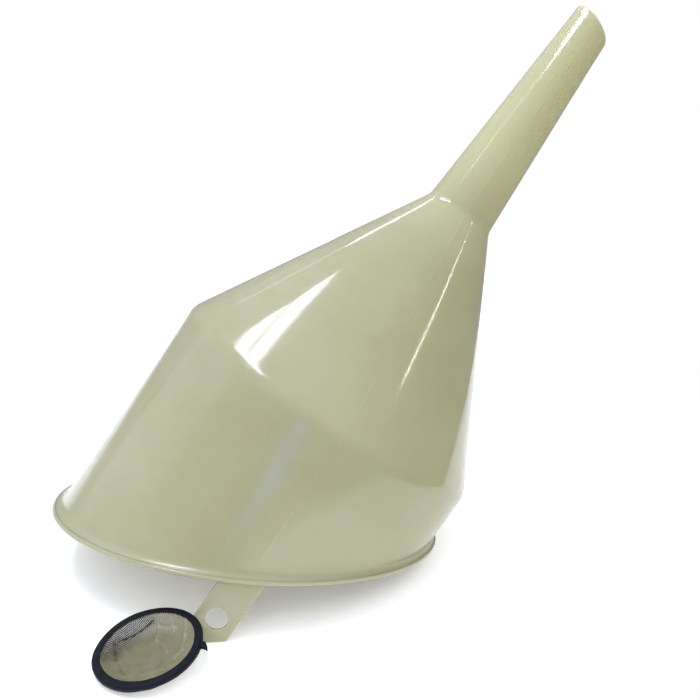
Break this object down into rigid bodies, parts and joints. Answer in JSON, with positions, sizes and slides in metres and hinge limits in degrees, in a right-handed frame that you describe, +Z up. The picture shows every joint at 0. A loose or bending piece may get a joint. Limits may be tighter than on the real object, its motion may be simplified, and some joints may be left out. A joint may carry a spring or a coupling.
{
  "type": "funnel with lift-out strainer",
  "caption": "Oblique-mouthed plastic funnel with a tapered spout, rim lip and hanging tab, standing mouth down, with its round wire strainer lying in front.",
  "frame": {"origin": "centre of the bounding box in plan, on the surface the funnel stands on", "axes": "+Z up from the surface it stands on, -Y towards the side the hanging tab faces, +X towards the side the spout leans to"},
  "size_m": [0.4008, 0.3084, 0.3881],
  "materials": {
    "polyethylene": "milky natural polyethylene, glossy on the cone and spout, satin on the collar",
    "woven_wire": "fine woven wire cloth, dull",
    "hoop_wire": "drawn wire",
    "binding": "folded black strip, satin"
  },
  "bodies": {
    "funnel": {"collar": "polyethylene", "cone": "polyethylene", "spout": "polyethylene", "rim_lip": "polyethylene", "hanging_tab": "polyethylene"},
    "strainer": {"strainer_mesh": "woven_wire", "strainer_hoop": "hoop_wire", "strainer_binding": "binding"}
  },
  "joints": [
    {"name": "strainer_lift", "type": "slide", "parent": "funnel", "child": "strainer", "axis": [0, -0.8, 0.6], "range_m": [0, 0.2]}
  ]
}
